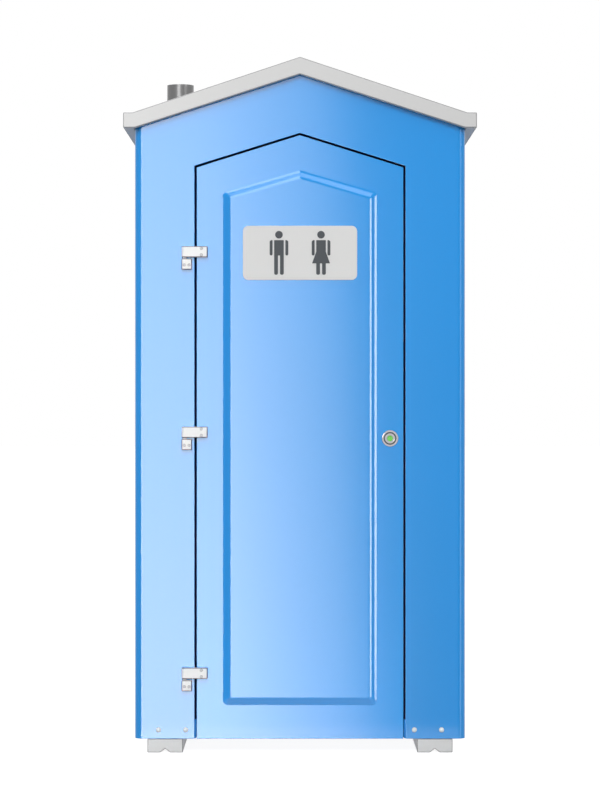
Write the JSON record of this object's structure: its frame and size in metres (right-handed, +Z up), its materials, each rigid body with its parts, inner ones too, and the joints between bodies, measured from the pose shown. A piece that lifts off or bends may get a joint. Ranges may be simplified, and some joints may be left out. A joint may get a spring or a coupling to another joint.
{
  "type": "portable toilet",
  "caption": "Free-standing portable toilet cabin with a gabled roof, a lockable hinged door with a sign, skids, a waste tank with seat and lid, and a vent pipe.",
  "frame": {"origin": "centre of the outline on the ground, under the skids", "axes": "+Z up, the door's front faces -Y, +X to the right when looking at the door"},
  "size_m": [1.168, 1.21, 2.3195],
  "materials": {
    "blue_plastic": "satin moulded blue sheet",
    "pale_plastic": "satin pale grey",
    "skid_plastic": "matt pale grey",
    "tank_plastic": "matt near-black",
    "black_plastic": "fine textured black",
    "figure_film": "matt dark grey film",
    "pipe_plastic": "glossy mid grey",
    "white_plastic": "glossy white",
    "plain_steel": "plain steel",
    "bright_chrome": "polished",
    "indicator_paint": "green for free, red for taken",
    "clear_plastic": "clear",
    "tissue": "soft white"
  },
  "bodies": {
    "cabin": {"back_wall": "blue_plastic", "coat_hook": "black_plastic", "door_frame": "black_plastic", "floor_pan": "blue_plastic", "front_rivet_1": "white_plastic", "front_rivet_2": "white_plastic", "front_rivet_3": "white_plastic", "front_rivet_4": "white_plastic", "front_wall": "blue_plastic", "left_vent_grille": "blue_plastic", "left_wall": "blue_plastic", "lock_keeper": "plain_steel", "lower_block_screws": "plain_steel", "lower_hinge_block": "white_plastic", "lower_hinge_pin": "bright_chrome", "lower_pipe_bracket": "plain_steel", "middle_block_screws": "plain_steel", "middle_hinge_block": "white_plastic", "middle_hinge_pin": "bright_chrome", "paper_holder": "plain_steel", "paper_spindle": "white_plastic", "pipe_boot": "pale_plastic", "right_vent_grille": "blue_plastic", "right_wall": "blue_plastic", "roof": "pale_plastic", "seat_hinge_rod": "plain_steel", "seat_post_left": "white_plastic", "seat_post_right": "white_plastic", "skid_left": "skid_plastic", "skid_right": "skid_plastic", "upper_block_screws": "plain_steel", "upper_hinge_block": "white_plastic", "upper_hinge_pin": "bright_chrome", "upper_pipe_bracket": "plain_steel", "vent_pipe": "pipe_plastic", "waste_tank": "tank_plastic"},
    "door": {"door_outer_skin": "blue_plastic", "door_inner_skin": "blue_plastic", "sign_plate": "pale_plastic", "man_head": "figure_film", "man_body": "figure_film", "woman_head": "figure_film", "woman_body": "figure_film", "upper_hinge_strap": "white_plastic", "middle_hinge_strap": "white_plastic", "lower_hinge_strap": "white_plastic", "upper_strap_screws": "plain_steel", "middle_strap_screws": "plain_steel", "lower_strap_screws": "plain_steel", "lock_rose": "bright_chrome", "lock_barrel": "bright_chrome", "lock_window": "clear_plastic", "lock_case": "black_plastic", "door_pull": "black_plastic"},
    "lock_slide": {"lock_bolt": "plain_steel", "indicator_plate": "indicator_paint"},
    "thumb_turn": {"thumb_turn": "black_plastic"},
    "seat": {"seat": "white_plastic"},
    "lid": {"lid": "white_plastic"},
    "paper_roll": {"paper_roll": "tissue"}
  },
  "joints": [
    {"name": "door_hinge", "type": "hinge", "parent": "cabin", "child": "door", "pos_m": [-0.3816, -0.585, 1.0607], "axis": [0, 0, -1], "range_deg": [0, 165]},
    {"name": "thumb_turn_spin", "type": "hinge", "parent": "door", "child": "thumb_turn", "pos_m": [0.298, -0.51, 1.04], "axis": [0, 1, 0], "range_deg": [0, 90]},
    {"name": "bolt_slide", "type": "slide", "parent": "door", "child": "lock_slide", "axis": [1, 0, 0], "range_m": [0, 0.0198]},
    {"name": "seat_hinge", "type": "hinge", "parent": "cabin", "child": "seat", "pos_m": [0, 0.505, 0.55], "axis": [-1, 0, 0], "range_deg": [0, 95]},
    {"name": "lid_hinge", "type": "hinge", "parent": "cabin", "child": "lid", "pos_m": [0, 0.505, 0.55], "axis": [-1, 0, 0], "range_deg": [-97, 0]},
    {"name": "paper_roll_spin", "type": "hinge", "parent": "cabin", "child": "paper_roll", "pos_m": [0.4842, -0.08, 0.82], "axis": [0, 1, 0], "continuous": true}
  ],
  "couplings": [
    {"joint": "thumb_turn_spin", "follows": "bolt_slide", "rad_per_m": 79.3}
  ]
}
